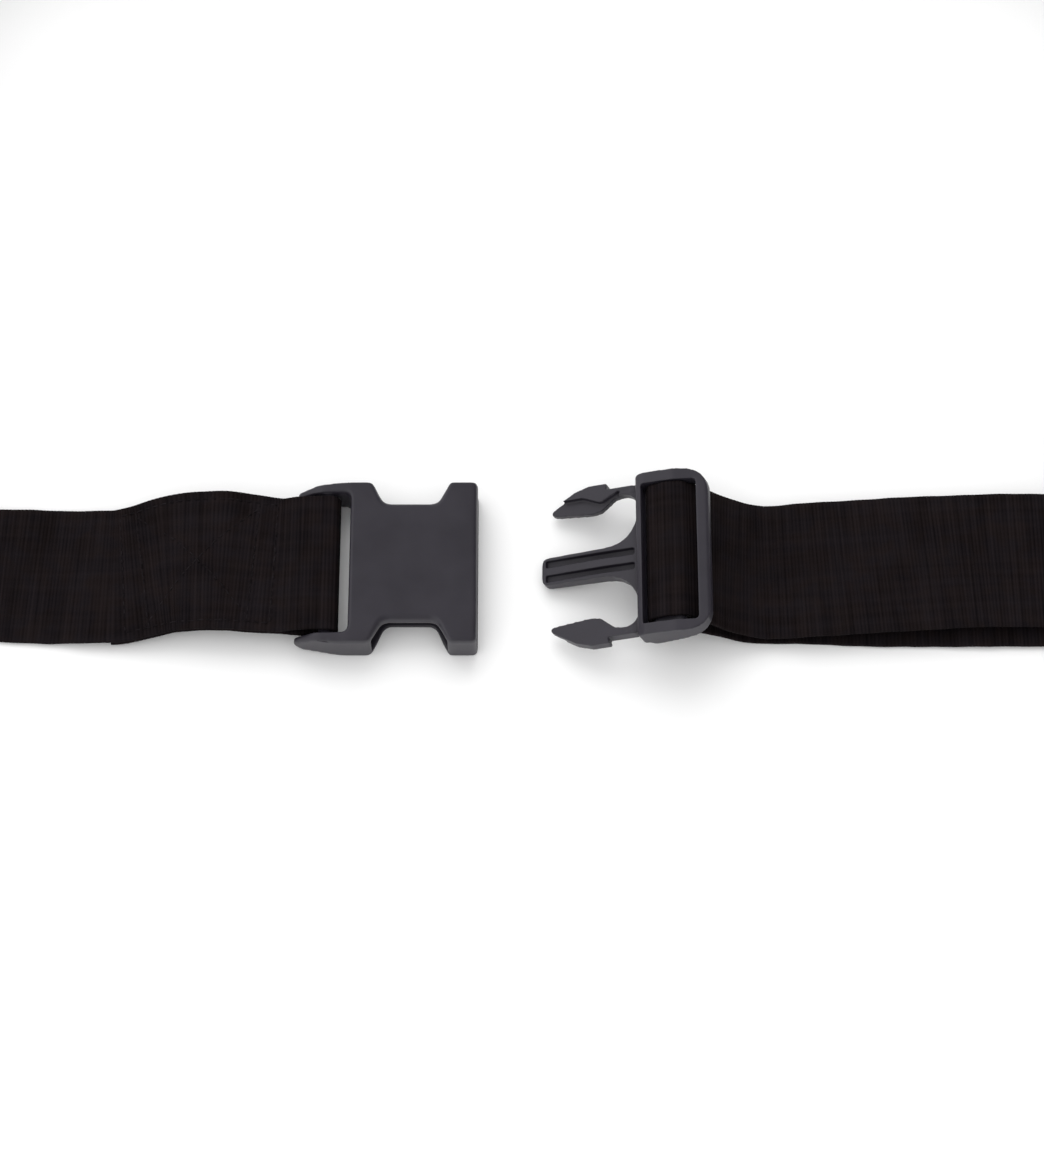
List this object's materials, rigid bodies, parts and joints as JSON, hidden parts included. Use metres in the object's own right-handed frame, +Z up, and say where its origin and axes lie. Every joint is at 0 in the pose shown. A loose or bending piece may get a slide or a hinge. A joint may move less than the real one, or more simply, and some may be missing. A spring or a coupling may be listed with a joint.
{
  "type": "gait belt",
  "caption": "Black webbing transfer belt, laid out as an open loop, with a side-release buckle unclipped at the front and a sewn box-and-cross seam.",
  "frame": {"origin": "centre of the receiver's flat underside, on the table plane", "axes": "+X from the receiver towards the prong half, along the front of the belt; +Y towards the back of the loop; +Z up"},
  "size_m": [0.4965, 0.3314, 0.0546],
  "materials": {
    "buckle_plastic": "fine moulded grain, dark blue-grey",
    "webbing": "ribbed woven webbing, near black",
    "thread": "twisted sewing thread, black"
  },
  "bodies": {
    "strap": {"belt_webbing": "webbing", "box_thread_upper": "thread", "box_thread_lower": "thread", "cross_thread_upper": "thread", "cross_thread_lower": "thread"},
    "receiver": {"receiver": "buckle_plastic"},
    "web_run": {"lead_webbing": "webbing"},
    "web_end": {"adjuster_upper_ply": "webbing", "adjuster_lower_ply": "webbing"},
    "male": {"prong_frame": "buckle_plastic", "adjuster_loop": "webbing"},
    "latch_far": {"latch_arm_far": "buckle_plastic"},
    "latch_near": {"latch_arm_near": "buckle_plastic"},
    "tail": {"tail_webbing": "webbing", "hem_thread_upper": "thread", "hem_thread_lower": "thread"}
  },
  "joints": [
    {"name": "receiver_tilt", "type": "hinge", "parent": "strap", "child": "receiver", "pos_m": [-0.0297, 0, 0.008], "axis": [0, -1, 0], "range_deg": [0, 75]},
    {"name": "buckle_close", "type": "slide", "parent": "strap", "child": "web_run", "axis": [-1, 0, 0], "range_m": [0, 0.04964], "deforming": ["latch_arm_far", "latch_arm_near", "adjuster_upper_ply", "adjuster_lower_ply"]},
    {"name": "webbing_bend", "type": "hinge", "parent": "web_run", "child": "web_end", "pos_m": [0.112, -0.00066, 0.0035], "axis": [0, -1, 0], "range_deg": [0, 26.9]},
    {"name": "prong_level", "type": "hinge", "parent": "web_end", "child": "male", "pos_m": [0.08797, -0.00066, 0.01904], "axis": [0, 1, 0], "range_deg": [0, 47.9]},
    {"name": "latch_far_press", "type": "hinge", "parent": "male", "child": "latch_far", "pos_m": [0.07546, 0.02564, 0.01424], "axis": [-0.3584, 0, 0.9336], "range_deg": [0, 13], "stiffness_Nm_per_rad": 1.2},
    {"name": "latch_near_press", "type": "hinge", "parent": "male", "child": "latch_near", "pos_m": [0.07546, -0.02696, 0.01424], "axis": [0.3584, 0, -0.9336], "range_deg": [0, 13], "stiffness_Nm_per_rad": 1.2},
    {"name": "tail_pull", "type": "slide", "parent": "web_run", "child": "tail", "axis": [1, 0, 0], "range_m": [0, 0.04]}
  ],
  "couplings": [
    {"joint": "webbing_bend", "follows": "buckle_close", "rad_per_m": 9.4496},
    {"joint": "prong_level", "follows": "buckle_close", "rad_per_m": 16.834}
  ]
}
